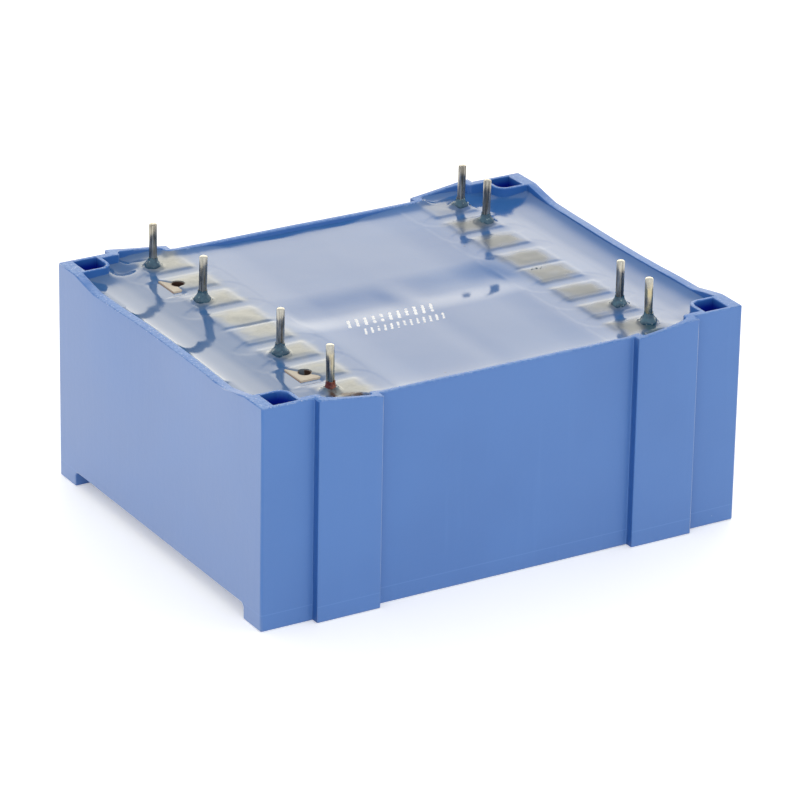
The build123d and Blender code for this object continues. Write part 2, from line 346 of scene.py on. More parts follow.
def bowed(x, y, z):
    """The push at a point of a short wall, which grows from nothing at the foot to all at the top."""
    return wall_bow_at(x, y) * ease_line(z, 3.0, 22.0) ** 1.5 if abs(x) > 24.0 else 0.0


def wander(x, y, z):
    """A small shift of the rims in mm, more at the top than below."""
    return 0.05 * ease_line(z, 18.0, 22.0) * noise_of(x * 0.35, y * 0.35, z * 0.2)


for vert in case_piece.data.vertices:
    x, y, z = vert.co / mm
    shift = bowed(x, y, z)
    drop = wander(x, y, z) - 0.03 if long_rim - 0.3 < z < seat_height - 0.2 else 0.0
    vert.co = Vector((x + shift, y + thinned(x, y, z), z + drop)) * mm
smooth(case_piece, 40)
modify(case_piece, "WEIGHTED_NORMAL", keep_sharp=True)
print("case box in mm:", [round(v / mm, 3) for v in case_piece.dimensions])
print("case faces:", len(case_piece.data.polygons))

# %% [markdown]
# ## The shape of the resin
# The resin was poured over the core and the bobbins and set with its own skin. It creeps up the
# walls, lies as a thin film over the blocks of the terminal bars, sags a little along the middle,
# and stands up round each pin. All of that is one height over the plan, so it is written as a
# function: a level, plus what each feature adds at a point. A fine grid is then lifted to it.

# %% Resin: the height function
resin_level = 21.2
row_x, well_y = 17.5, 12.5
bar_x, bar_radius = (13.95, 18.9), 0.3
block_spans = [(0.2, 4.2), (5.8, 9.2), (10.8, 14.2), (15.8, 19.5)]
lean_x, lean_y = 0.86, -0.51  # the camera's right, in the plan
lean_way = Vector((lean_x, lean_y))
pin_table = {  # grid place x, y; shift of the root and of the tip; how much shorter
    1: (-17.5, 17.5, -0.06, -0.05, 0.12), 2: (-17.5, 7.5, 0.02, 0.12, 0.0),
    3: (-17.5, -7.5, 0.16, 0.19, 0.0), 4: (-17.5, -17.5, -0.07, -0.15, 0.0),
    5: (17.5, 17.5, 0.23, 0.34, 0.2), 6: (17.5, 12.5, 0.18, 0.25, 0.1),
    7: (17.5, -12.5, 0.03, 0.03, 0.0), 8: (17.5, -17.5, 0.09, 0.03, 0.03),
}
pin_roots = [(x + share * lean_x * root, y + share * lean_y * root) for share in (0, 1)
             for x, y, root, tip, short in pin_table.values()]


def ease(value, low, high):
    """A smooth step from 0 at low to 1 at high."""
    t = ease_line(value, low, high)
    return t * t * (3 - 2 * t)


def to_wall(x, y):
    """Distance in mm from a point of the hollow to its nearest wall or post."""
    ax, ay = abs(x), abs(y)
    main = min(wall_inner_x - ax, wall_inner_y - ay)
    step = min(ax - step_inner, step_outer - ax, wall_inner_y + pad_proud - ay)
    return max(0.0, min(max(main, step), to_post(x, y)))


def to_post(x, y):
    """Distance in mm from the nearest corner post."""
    px, py = post_x + post_radius - abs(x), post_y + post_radius - abs(y)
    return max(0.0, math.hypot(max(px, 0), max(py, 0)) - post_radius + min(max(px, py), 0))


def to_block(x, y, span):
    """Distance in mm from a block of a terminal bar, below zero inside it."""
    ax, ay = abs(x), abs(y)
    dx = max(bar_x[0] + bar_radius - ax, ax - bar_x[1] + bar_radius)
    dy = max(span[0] + bar_radius - ay, ay - span[1] + bar_radius)
    return math.hypot(max(dx, 0), max(dy, 0)) + min(max(dx, dy), 0) - bar_radius


def bare(x, y):
    """1 where the film never reached: the outer front corner of the two blocks with open wells."""
    for front in (10.8, -14.2):
        inward, along = x + bar_x[1], y - front
        if x < 0 and -0.8 < along < 3.4:
            reach = 1.05 + 0.6 * ease(along, 0.9, 1.2) if front > 0 else 2.2
            slanted = 1 - ease(max(inward, 0) / 2.4 + max(along, 0) / 3.2, 0.95, 1.2)
            return slanted * (1 - ease(inward, reach - 0.1, reach + 0.1))
    return 0.0


def creep(x, y):
    """How high the skin stands above its level by the walls, in mm."""
    wall = to_wall(x, y)
    at_right = ease(x, 18.0, 23.0)
    rise = 0.4 + 0.05 * noise_of(x * 0.4, y * 0.4, 3.0)
    if y > 12 and abs(x) < pad_inner:
        rise = 0.16 + 0.4 * (x / pad_inner) ** 4 + 0.02 * math.sin(x * 0.9)
    rise += (0.14 - rise) * at_right
    at_left = 0.4 * math.exp(-max(0.0, wall_inner_x + x) / 0.95)
    in_front = ease(-y, 14.0, 17.0)
    rise, reach = rise + (0.16 - rise) * in_front, 0.42 + 0.48 * in_front
    return (rise * math.exp(-wall / reach) * (1 - 0.6 * ease(-x, 23.5, 25.0)) + at_left
            + 0.42 * math.exp(-max(0.0, wall_inner_x - x) / 1.7) * at_right
            + 0.28 * math.exp(-to_post(x, y) / 0.8) * ease(y, 8.0, 12.0))


def pin_reach(x, y):
    """Distance in mm from the nearest pin, at its grid place or at its leaning root."""
    return min(math.hypot(x - px, y - py) for px, py in pin_roots)


def near_line(x, y, start, end):
    """Distance in mm from a line between two points of the plan."""
    start, way = Vector(start), Vector(end) - Vector(start)
    along = ease_line((Vector((x, y)) - start).dot(way), 0.0, way.length_squared)
    return (Vector((x, y)) - start - way * along).length


def blend_up(first, second, width=0.1):
    """The higher of two heights, with a smooth change from one to the other."""
    return (first + second + math.hypot(first - second, width)) / 2 - width / 4


def resin_height(x, y):
    """Height of the skin in mm, and how much of the cream block shows through it."""
    ax = abs(x)
    height = resin_level + creep(x, y)
    # A sag along the middle, in two halves, and slow waves
    halves = ease(13.8 - ax, 0.0, 3.0) * (1 - 0.6 * math.exp(-((x - 0.5) / 1.6) ** 2))
    trough = 0.33 * (1 - ease(-y, 0.4, 4.9)) - 0.21 * ease(y, -0.4, 5.0)
    height += (0.1 - trough) * halves
    height += 0.016 * noise_of(x * 0.14, y * 0.14, 0.0)
    height += 0.004 * noise_of(x * 0.5, y * 0.5, 7.0)
    # It stands higher along the bars, and lies over each block as a pillow
    height += 0.31 * ease(ax, 7.5, 15.0) * (1 - ease(ax, 18.6, 22.5))
    show = 0.0
    for span in block_spans:
        gap = to_block(x, y, span)
        if gap < 2.2:
            uneven = 0.025 * noise_of(x * 0.6, y * 0.6, 11.0)
            lift = (0.05 + uneven) * (1 - ease(gap, -1.7, 0.3)) + 0.36 * (1 - ease(gap, -0.3, 1.2))
            height = blend_up(height, resin_level + lift)
            frayed = 0.5 * noise_of(x * 0.9, y * 0.9, 5.0)
            show = max(show, 1 - ease(gap + frayed + 0.7 * ease(ax, 16.8, 18.6), -1.2, 1.1))
    if x > 0:
        show *= 0.45 + 0.55 * ease(-y, -17.5, -13.0)
    if x < 0:
        height -= 0.06 * math.exp(-(y / 0.16) ** 2) * ease(-x, 13.2, 14.4) * ease(x, -18.2, -16.6)
    height += 0.42 * (1 - ease(pin_reach(x, y), 0.45, 1.2))
    opened = bare(x, y)
    height += (min(height, resin_level + 0.16) - height) * opened
    # A fold by the first pin, a crack along the pad by the fourth, and a pool by the eighth
    height -= 0.3 * math.exp(-((x + 20.3) / 1.1) ** 2 - ((y - 18.3) / 0.7) ** 2)
    height -= 0.8 * ease(-y, 19.45, 19.75) * ease(x, -18.0, -17.0) * (1 - ease(x, -15.4, -14.9))
    height -= 0.35 * ease(-y, 19.4, 19.9) * ease(x, 15.6, 16.2) * (1 - ease(x, 17.6, 18.2))
    # It never stands above the rim beside it
    face = inner_face_y(x)
    limit = rim_height(x, math.copysign(face, y)) - 0.08 + 0.7 * max(0.0, face - abs(y))
    return min(height, limit), show * (1 - opened)


print("resin at the middle, on a block and at a wall:",
      [round(resin_height(*p)[0], 2) for p in ((0, 0), (16, 7.5), (0, 19.6))])

# %% [markdown]
# ## The resin as a solid
# A grid primitive is stretched over the hollow and extruded down, which gives a closed block with a
# fine top. The same block that formed the hollow trims it, so that the resin meets the walls, and
# two cylinders open the wells that stayed empty. Then the points of the top are lifted to their
# height. Point attributes keep how much of a cream block shows at each point, where the resin is
# thick and teal round a pin, and where flux has stained it.

# %% Resin: grid, trim and lift
grid_pitch = 0.2
columns = int(2 * wall_inner_x / grid_pitch) + 1
rows = int(2 * (wall_inner_y + pad_proud) / grid_pitch) + 1
bpy.ops.object.select_all(action="DESELECT")
bpy.ops.mesh.primitive_grid_add(x_subdivisions=columns, y_subdivisions=rows, size=mm,
                                location=(0, 0, resin_level * mm))
bpy.ops.transform.resize(value=(columns * grid_pitch, rows * grid_pitch, 1))
resin = settle("resin_pour")
pick(resin, "FACE", lambda face: True)
bpy.ops.mesh.extrude_region_move(TRANSFORM_OT_translate={"value": (0, 0, (floor_top - resin_level) * mm)})
bpy.ops.mesh.select_all(action="SELECT")
bpy.ops.mesh.normals_make_consistent(inside=False)
leave_edit()
pick(resin, "FACE", lambda face: face.normal.z < -0.9)
bpy.ops.mesh.dissolve_faces()
leave_edit()
combine(resin, hollow_block("mould", floor_top - overrun), "INTERSECT")
for y in (well_y, -well_y):
    combine(resin, add_cylinder("well", 32, 0.7, 17.5, 23.5, -row_x, y))
dark_lines = [((17.4, -17.9), (16.9, -19.4)), ((16.1, -19.9), (17.7, -19.9))]
flux_lines = [((-17.7, -20.0), (-15.0, -20.1)), ((-17.7, -17.9), (-17.9, -18.7)),
              ((-16.9, -18.9), (-15.6, -19.3))]
shows, teals, fluxes = (resin.data.attributes.new(name, "FLOAT", "POINT") for name in
                        ("block_show", "pin_teal", "flux_stain"))
for index, vert in enumerate(resin.data.vertices):
    x, y, z = vert.co / mm
    vert.co.x += wall_bow_at(x, y) * ease(abs(x), 20.5, 25.4) * mm
    face = inner_face_y(x)
    push = 0.25 * ease(abs(y), face - 1.6, face) * (1 - ease_line(abs(x), fade_from, fade_to))
    vert.co.y += math.copysign(push, y) * mm
    if z > resin_level - 0.01:
        height, show = resin_height(x, y)
        vert.co.z = height * mm
        shows.data[index].value = show
        beside = min(near_line(x, y, *line) for line in dark_lines)
        teals.data[index].value = max(1 - ease(pin_reach(x, y), 0.6, 0.95), 1 - ease(beside, 0.35, 0.75))
        fluxes.data[index].value = max(1 - ease(near_line(x, y, *line), 0.2, 0.5) for line in flux_lines)
smooth(resin, 50)
print("resin has", len(resin.data.polygons), "faces")

# %% [markdown]
# ## Pins
# Each pin is a length of tinned wire, cut off by a shear that leaves a slightly domed, bright tip
# with a broken edge. None stands quite upright: the table gives how far each root and tip lies to
# the camera's right of its grid place, and how much shorter than the longest it is. One pin is
# modelled from a cylinder, and the others are copies of it with their own mesh.

# %% Pins
pin_radius, pin_bottom, pin_root, pin_top = 0.4, 17.9, 21.5, 26.2
model_pin = add_cylinder("model_pin", 32, pin_radius, pin_bottom, pin_top)
pick(model_pin, "FACE", lambda face: face.normal.z > 0.9)
bpy.ops.mesh.bevel(offset=0.09 * mm, segments=2)
bpy.ops.mesh.inset(thickness=0.08 * mm, depth=-0.02 * mm)
leave_edit()
slice_at(model_pin, 2, range(19, 26))
pins = {}
warm_tin = {1: 0.25, 2: 0.2, 3: 0.2, 4: 0.7, 5: 0.1, 6: 0.1, 7: 0.3, 8: 1.0}
bright_tip = {1: 0.1, 2: 0.9, 3: 0.9, 4: 1.0, 5: 0.15, 6: 0.3, 7: 0.9, 8: 1.0}
for number, (x, y, root, tip, short) in pin_table.items():
    pin = model_pin.copy()
    pin.data = model_pin.data.copy()
    bpy.context.collection.objects.link(pin)
    pin.name = f"pin_wire_{number}"
    tips = pin.data.attributes.new("tip", "FLOAT", "POINT")
    warms = pin.data.attributes.new("warm", "FLOAT", "POINT")
    for vert in pin.data.vertices:
        px, py, pz = vert.co / mm
        up = max(0.0, (pz - pin_root) / (pin_top - pin_root))
        tips.data[vert.index].value = bright_tip[number] * (pz > pin_top - 0.1)
        warms.data[vert.index].value = warm_tin[number]
        shift = lean_way * (root + (tip - root) * up)
        wobble = 0.008 * noise_of(px * 3 + number, py * 3, pz * 0.8)
        swell = 1 + wobble / pin_radius
        vert.co = Vector((x + px * swell + shift.x, y + py * swell + shift.y, pz - short * up)) * mm
    smooth(pin, 50)
    pins[number] = pin
bpy.data.objects.remove(model_pin)
print("pins:", len(pins), "of", len(pins[1].data.polygons), "faces")

# %% [markdown]
# ## Collars of resin round the pins
# Resin crept a little way up each pin and set as a small ragged cone, a millimetre and a half wide.
# A cylinder primitive is sliced into rings, and each ring is drawn in so that the side curves like
# the foot of a bell. A little noise makes every collar different. Bubbles that rose beside the pins
# burst at the skin and left crumbs of froth, which are small spheres half sunk in the resin.

# %% Collars and froth
collar_table = {  # reach beyond the pin at the foot, height, noise seed
    1: (0.34, 0.6, 1.0), 2: (0.34, 0.7, 2.0), 3: (0.36, 0.75, 3.0), 4: (0.08, 0.62, 4.0),
    5: (0.32, 0.6, 5.0), 6: (0.3, 0.6, 6.0), 7: (0.34, 0.65, 7.0), 8: (0.4, 0.7, 8.0),
}
collar_rings, collar_low = 16, 21.15
toward_viewer = Vector((-0.516, -0.857))
collars = {}
for number, (reach, rise, seed) in collar_table.items():
    x, y, root = pin_table[number][:3]
    shift = lean_way * root
    foot = resin_height(x + shift.x + 0.5, y + shift.y - 0.4)[0]
    tall = foot + rise - collar_low
    collar = add_cylinder(f"resin_collar_{number}", 48, 1.0, collar_low, collar_low + tall)
    slice_at(collar, 2, [collar_low + tall * (i / collar_rings) ** 0.8 for i in range(1, collar_rings)])
    for vert in collar.data.vertices:
        px, py, pz = vert.co / mm
        up = max(0.0, (pz - foot) / rise)
        ragged = noise_of(px * 1.6 + seed * 9, py * 1.6, pz * 1.4)
        lumpy = noise_of(px * 5 + seed * 9, py * 5, pz * 6)
        below = 1 - min(up, 1.0)
        radius = pin_radius + 0.025 + reach * below ** 2.6 * (1 + 0.5 * ragged) + 0.035 * (1 + lumpy)
        size = math.hypot(px, py)
        if size > 0:
            px, py = px / size * radius, py / size * radius
        px, py = Vector((px, py)) + shift + toward_viewer * reach * 0.5 * below ** 2
        vert.co = Vector((x + px, y + py, pz + 0.22 * ragged * up)) * mm
    smooth(collar, 60)
    collars[number] = collar

random.seed(5)
crumbs = []


def add_crumb(place, size, lift):
    """A small sphere that stands out of the resin."""
    bpy.ops.object.select_all(action="DESELECT")
    bpy.ops.mesh.primitive_ico_sphere_add(subdivisions=2, radius=size * mm, location=Vector(
        (place.x, place.y, resin_height(*place)[0] + lift)) * mm)
    crumbs.append(bpy.context.object)


for number, (reach, rise, seed) in collar_table.items():
    x, y, root = pin_table[number][:3]
    for crumb in range(4 if number == 4 else 12):
        along = lean_way * (root + random.choice((-1, 1)) * random.uniform(0.5, 0.75 + reach))
        across = Vector((0.51, 0.86)) * random.gauss(0.0, 0.22)
        place = Vector((x, y)) + along + across
        add_crumb(place, random.choice((0.03, 0.04, 0.05, 0.09)) * random.uniform(0.8, 1.2), 0.02)
for crumb in range(12):
    place = Vector((15.5 + random.gauss(0.0, 0.25), -0.75 + random.gauss(0.0, 0.2)))
    add_crumb(place, random.uniform(0.03, 0.07), 0.03)
bpy.ops.object.select_all(action="DESELECT")
for crumb in crumbs:
    crumb.select_set(True)
bpy.context.view_layer.objects.active = crumbs[0]
bpy.ops.object.join()
froth = settle("froth")
bpy.ops.object.shade_smooth()
print("collars:", len(collars), "crumbs:", len(crumbs))

# %% [markdown]
# ## Marks printed on the resin
# Such parts carry a line or two of white ink that an inkjet head sprays in dots on the set resin.
# Here they are two plain rows of slanted strokes that say nothing. Each dot is a flat eight sided
# drop, and they all go into one mesh that follows the skin a hundredth of a millimetre above it.

# %% Ink strokes
random.seed(11)
ink_mesh = bpy.data.meshes.new("ink_marks")
ink_build = bmesh.new()
eighths = [math.radians(45 * i) for i in range(8)]
ink_rows = [  # left end, lower line, pitch of the strokes, number of strokes, dots in a stroke, dot radius
    (-8.0, -4.6, 0.92, 11, 9, 0.19), (-7.4, -6.7, 0.72, 13, 6, 0.15)]
missed_share, jitter, drop_lift, drop_depth = 0.04, 0.02, 0.012, 0.02


def eight_points(x, y, z, reach):
    """New points of the ink on a level circle."""
    return [ink_build.verts.new(Vector((x + reach * math.cos(a), y + reach * math.sin(a), z)) * mm)
            for a in eighths]


for left, low, pitch, strokes, dots, radius in ink_rows:
    for stroke in range(strokes):
        for dot in range(dots):
            if random.random() < missed_share:
                continue
            x = left + stroke * pitch + dot * 0.1 + random.uniform(-jitter, jitter)
            y = low + dot * 0.22 + random.uniform(-jitter, jitter)
            size = radius * random.uniform(0.85, 1.15)
            z = resin_height(x, y)[0] + drop_lift
            ring, cap = eight_points(x, y, z - drop_depth, size), eight_points(x, y, z, 0.75 * size)
            for i in range(8):
                ink_build.faces.new((ring[i], ring[i - 7], cap[i - 7], cap[i]))
            ink_build.faces.new(cap)
            ink_build.faces.new(list(reversed(ring)))
bmesh.ops.recalc_face_normals(ink_build, faces=ink_build.faces)
ink_build.to_mesh(ink_mesh)
ink_build.free()
ink = bpy.data.objects.new("ink_marks", ink_mesh)
bpy.context.collection.objects.link(ink)
print("ink faces:", len(ink_mesh.polygons))

# %% [markdown]
# ## Building blocks for the finishes
# A material is a small circuit of nodes. Short helpers keep the circuits readable: they add a node
# in the tree that its inputs come from, do sums, turn a value into a mask, mix colours or lay them
# over each other, and wire the result to the shader. Patterns read Object coordinates, which are
# metres here, so a noise scale of 400 gives features of some 2 mm.

# %% Node helpers
def add_node(tree, kind, inputs=None, **settings):
    """A node with its settings made and its inputs filled by a value or by another node's output."""
    item = tree.nodes.new(kind)
    for key, value in settings.items():
        setattr(item, key, value)
    for key, value in (inputs or {}).items():
        if isinstance(value, bpy.types.NodeSocket):
            tree.links.new(value, item.inputs[key])
        else:
            item.inputs[key].default_value = value
    return item


def follow(kind, inputs, **settings):
    """A node in the tree that its inputs come from; gives back its outputs."""
    tree = next(value.id_data for value in inputs.values() if isinstance(value, bpy.types.NodeSocket))
    return add_node(tree, kind, inputs, **settings).outputs


def maths(operation, first, second=0.0):
    """One sum with one or two values."""
    return follow("ShaderNodeMath", {0: first, 1: second}, operation=operation)[0]


def times(first, second):
    """The product of two values."""
    return maths("MULTIPLY", first, second)


def plus(first, second):
    """The sum of two values."""
    return maths("ADD", first, second)


def scaled(value, factor, offset):
    """A value times a factor, plus an offset."""
    return plus(times(value, factor), offset)


def mask(value, low, high):
    """A value turned into 0 at low and 1 at high, smoothly."""
    return follow("ShaderNodeMapRange", {"Value": value, "From Min": low, "From Max": high},
                  interpolation_type="SMOOTHSTEP")[0]


def mix_colour(factor, first, second):
    """Mixes two colours: the first where the factor is 0, the second where it is 1."""
    return follow("ShaderNodeMix", {0: factor, 6: first, 7: second}, data_type="RGBA")[2]


def coats(colour, *laid):
    """Lays coats over a colour; each is a colour, a mask for its place, and its strength."""
    for coat, place, strength in laid:
        colour = mix_colour(times(place, strength), colour, coat)
    return colour


def two_tone(value, first, second, low=0.35, high=0.65):
    """The first colour where a value is low, the second where it is high."""
    return mix_colour(mask(value, low, high), first, second)


def noise_at(where, scale, detail=2.0, roughness=0.5):
    """Noise on a place, as a value between about 0.3 and 0.7."""
    return follow("ShaderNodeTexNoise", {"Vector": where, "Scale": scale, "Detail": detail,
                                         "Roughness": roughness})[0]


def stretched(where, x, y, z):
    """A place scaled along each axis: below 1 draws a pattern out, above 1 packs it closer."""
    return follow("ShaderNodeMapping", {"Vector": where, "Scale": (x, y, z)})[0]


def axes_of(place):
    """The three coordinates of a place."""
    return follow("ShaderNodeSeparateXYZ", {0: place})


def attribute(tree, name):
    """A point attribute of the mesh, as a value."""
    return add_node(tree, "ShaderNodeAttribute", attribute_name=name).outputs["Fac"]


def bump(height, distance, strength):
    """A normal tilted by a height, with its depth in mm."""
    return follow("ShaderNodeBump", {"Height": height, "Distance": distance * mm, "Strength": strength})[0]


def new_group(name, inputs, outputs):
    """A shader node group with named sockets; gives back the tree and its two ends."""
    tree = bpy.data.node_groups.new(name, "ShaderNodeTree")
    for way, sockets in (("INPUT", inputs), ("OUTPUT", outputs)):
        for socket in sockets:
            kind = "NodeSocketVector" if socket == "Place" else "NodeSocketFloat"
            tree.interface.new_socket(name=socket, in_out=way, socket_type=kind)
    return tree, tree.nodes.new("NodeGroupInput").outputs, tree.nodes.new("NodeGroupOutput").inputs


def use(group, **inputs):
    """Places a node group, and gives back its outputs."""
    return follow("ShaderNodeGroup", inputs, node_tree=group)


def new_material(name, **shader_values):
    """A material with a Principled shader, its constants set on the shader's own sockets."""
    material = bpy.data.materials.new(name)
    material.use_nodes = True
    tree = material.node_tree
    shader = tree.nodes["Principled BSDF"]
    for socket, value in shader_values.items():
        shader.inputs[socket.replace("_", " ")].default_value = value
    where = add_node(tree, "ShaderNodeTexCoord").outputs["Object"]
    return material, tree, shader, where


def wire(shader, colour, roughness=None, normal=None):
    """Links the ends of a circuit to its Principled shader."""
    for socket, end in (("Base Color", colour), ("Roughness", roughness), ("Normal", normal)):
        if end is not None:
            shader.id_data.links.new(end, shader.inputs[socket])


def dress(piece, *materials):
    """Gives a piece its materials, in the order of its face indices."""
    piece.data.materials.clear()
    for material in materials:
        piece.data.materials.append(material)


# %% [markdown]
# ## Effects that several finishes share
# Moulded plastic and resin share three things: a fine grain, specks of dust and chips, and a rubbed
# look where a mask says so. Each is a node group with named sockets, so that it is built once and
# each material gives it its own values.

# %% Shared groups
grain_group, given, ends = new_group("moulded_grain", ("Place", "Scale"), ("Height", "Tone"))
fine = noise_at(given["Place"], given["Scale"], 3.0, 0.6)
wide = noise_at(given["Place"], times(given["Scale"], 0.05))
grain_group.links.new(plus(fine, times(wide, 6.0)), ends["Height"])
grain_group.links.new(mask(wide, 0.3, 0.7), ends["Tone"])

speck_group, given, ends = new_group("specks", ("Place", "Scale", "Size", "Share"), ("Mask",))
cells = follow("ShaderNodeTexVoronoi", {"Vector": given["Place"], "Scale": given["Scale"]})
drawn = follow("ShaderNodeSeparateColor", {0: cells["Color"]})[0]
chosen = maths("LESS_THAN", drawn, given["Share"])
near = maths("LESS_THAN", cells["Distance"], given["Size"])
speck_group.links.new(times(near, chosen), ends["Mask"])

rub_group, given, ends = new_group("rubbed_edges", ("Place", "Edge", "Scale"), ("Mask",))
patchy = noise_at(given["Place"], given["Scale"], 5.0, 0.7)
rub_group.links.new(times(given["Edge"], mask(patchy, 0.42, 0.58)), ends["Mask"])
print("shared groups:", [group.name for group in bpy.data.node_groups])

# %% [markdown]
# ## Case plastic
# The case is blue moulded polyester with a satin skin. The plastic itself is even, so what makes it
# real is small: a slightly uneven tone, fine upright drag marks from the mould, a parting line near
# the foot, pale scuffs on the rims and a few specks. A point attribute says where the rims are. Rims
# have a finish of their own, close to the first. The pockets, the sides of the pads and the inner
# faces get darker copies of it as painted shade, and in the pockets the painted shade deepens below
# the seat.

# %% Material: case plastic
rims = case_piece.data.attributes.new("rim", "FLOAT", "POINT")
for vert in case_piece.data.vertices:
    x, y, z = vert.co / mm
    on_rim = z > long_rim - 0.2 and rim_height(x, y) - z < 0.12
    # The rim mask is full along the left end and about half elsewhere, so the pale coats are stronger on
    # the left rim.
    rims.data[vert.index].value = (1.0 if x < -20 else 0.55) * on_rim

moulded_scale, parting_height = 1600.0, 1.66
case_plastic, tree, shader, where = new_material("case_plastic", IOR=1.5, Sheen_Weight=0.85,
                                                 Sheen_Roughness=0.5)
grain = use(grain_group, Place=where, Scale=moulded_scale)
drag = noise_at(stretched(where, 1.0, 1.0, 0.06), 1100.0, 3.0, 0.6)
off_line = maths("ABSOLUTE", maths("SUBTRACT", axes_of(where)[2], parting_height * mm))
parting = maths("SUBTRACT", 1.0, mask(off_line, 0.02 * mm, 0.07 * mm))
rim = attribute(tree, "rim")
rubbed = use(rub_group, Place=where, Edge=rim, Scale=2600.0)[0]
flecks = times(rim, use(speck_group, Place=where, Scale=5200.0, Size=0.38, Share=0.13)[0])
specks = use(speck_group, Place=where, Scale=210.0, Size=0.016, Share=0.3)[0]
plastic = mix_colour(grain["Tone"], (0.045, 0.168, 0.49, 1), (0.053, 0.184, 0.52, 1))
plastic = coats(plastic, ((0.09, 0.25, 0.6, 1), mask(drag, 0.55, 0.8), 0.12),
                ((0.12, 0.3, 0.66, 1), parting, 0.3), ((0.42, 0.56, 0.8, 1), rubbed, 0.34),
                ((0.6, 0.68, 0.8, 1), flecks, 0.5), ((0.5, 0.6, 0.75, 1), specks, 0.5))
dull = plus(scaled(grain["Tone"], 0.06, 0.36), times(rubbed, 0.2))
relief = plus(plus(grain["Height"], times(drag, 0.6)), times(flecks, 3.0))
wire(shader, plastic, dull, bump(relief, 0.012, 0.7))

rim_plastic = case_plastic.copy()
rim_plastic.name = "rim_plastic"
dry = rim_plastic.node_tree.nodes["Principled BSDF"].inputs
dry["Sheen Weight"].default_value, dry["Specular IOR Level"].default_value = 0.15, 0.36


def painted_shade_plastic(name, darker, lighter, roughness, painted_shade_colour=None):
    """A darker copy of the case plastic as painted shade, where nothing has rubbed it: the same moulded
    grain, no dusty sheen, and painted shade that deepens below the seat where a colour for it is given.
    """
    material, tree, shader, where = new_material(name, IOR=1.5, Roughness=roughness)
    grain = use(grain_group, Place=where, Scale=moulded_scale)
    tone = mix_colour(grain["Tone"], darker, lighter)
    if painted_shade_colour:
        # Painted shade: the colour turns to the painted shade colour from just below the seat to a
        # millimetre deeper.
        below = mask(axes_of(where)[2], (seat_height - 0.1) * mm, (seat_height - 1.0) * mm)
        tone = mix_colour(below, tone, painted_shade_colour)
    wire(shader, tone, normal=bump(grain["Height"], 0.01, 0.6))
    return material


# The pockets get a darker copy of the case plastic as painted shade, darker still with depth.
pocket_plastic_painted_shade = painted_shade_plastic("pocket_plastic_painted_shade", (0.025, 0.12, 0.42, 1), (0.03, 0.135, 0.46, 1), 0.3,
                               (0.0006, 0.015, 0.36, 1))
# The sides of the pads get a darker copy of the case plastic as painted shade.
step_plastic_painted_shade = painted_shade_plastic("step_plastic_painted_shade", (0.022, 0.1, 0.34, 1), (0.028, 0.115, 0.38, 1), 0.4)
# The inner faces get a darker copy of the case plastic as painted shade.
inner_plastic_painted_shade = painted_shade_plastic("inner_plastic_painted_shade", (0.03, 0.14, 0.45, 1), (0.036, 0.155, 0.48, 1), 0.35)

dress(case_piece, case_plastic, pocket_plastic_painted_shade, step_plastic_painted_shade, inner_plastic_painted_shade, rim_plastic)
# Pockets, pad sides and inner faces take the darker copies, which are painted shade.
for face in case_piece.data.polygons:
    x, y, z = face.center / mm
    in_pocket = max(abs(abs(x) - pocket_x), abs(abs(y) - pocket_y)) < pocket_half + 0.02
    on_step = abs(face.normal.x) > 0.7 and half_width < abs(y) and z < seat_height - 0.2
    indoors = (abs(x) < half_length - 0.5 and abs(y) < inner_face_y(x) + 0.35
               and abs(face.normal.z) < 0.5 and z > floor_top)
    face.material_index = (1 if in_pocket and 5 < z < seat_height - 0.05 else 2 if on_step and not indoors
                           else 3 if indoors else 4 if face.normal.z > 0.6 and z > long_rim - 0.3 else 0)
counts = [sum(face.material_index == i for face in case_piece.data.polygons) for i in range(5)]
print("case faces by finish:", counts)

# %% [markdown]
# ## Resin
# The resin is deep blue and glossy, and most of what one sees of it is what it mirrors. Where the
# film over a block is thin, the cream nylon shows as a soft grey patch. Fine dust pits and very
# shallow ripples break up the mirror.

# %% Material: resin
resin_blue, tree, shader, where = new_material("casting_resin", IOR=1.54)
along_x = axes_of(where)[0]
# Towards the left end the resin is made greyer, and towards the right the film over the blocks is made
# darker.
at_left, at_right = mask(along_x, -9 * mm, -18 * mm), mask(along_x, -2 * mm, 10 * mm)
thin = times(attribute(tree, "block_show"), mask(noise_at(where, 180.0, 3.0), 0.1, 0.5))
deep = two_tone(noise_at(where, 60.0), (0.032, 0.125, 0.35, 1), (0.04, 0.142, 0.38, 1))
deep = coats(deep, ((0.055, 0.12, 0.22, 1), at_left, 0.4))
haze = noise_at(where, 900.0, 4.0, 0.7)
film = two_tone(haze, (0.27, 0.28, 0.25, 1), (0.21, 0.22, 0.195, 1), 0.4, 0.7)
film = coats(film, ((0.07, 0.085, 0.1, 1), at_right, 0.7))
pits = use(speck_group, Place=where, Scale=330.0, Size=0.045, Share=0.25)[0]
scorched = mask(noise_at(where, 1400.0, 3.0), 0.3, 0.5)
body = coats(deep, (film, thin, 0.9), ((0.02, 0.03, 0.06, 1), pits, 0.5),
             ((0.03, 0.085, 0.12, 1), attribute(tree, "pin_teal"), 0.85),
             ((0.05, 0.02, 0.012, 1), attribute(tree, "flux_stain"), scorched))
gloss = scaled(mask(noise_at(where, 240.0, 3.0), 0.35, 0.7), 0.05, 0.08)
duller = scaled(at_right, 0.13, 0.1)
ripple = use(grain_group, Place=where, Scale=420.0)
wire(shader, body, plus(gloss, times(thin, duller)), bump(ripple["Height"], 0.004, 0.6))
dress(resin, resin_blue)

# %% [markdown]
# ## Resin on the pins
# Round the pins the resin is thick and dark over grey metal, so it looks teal. One pin has kept a
# red brown sleeve of flux and enamel at its foot.

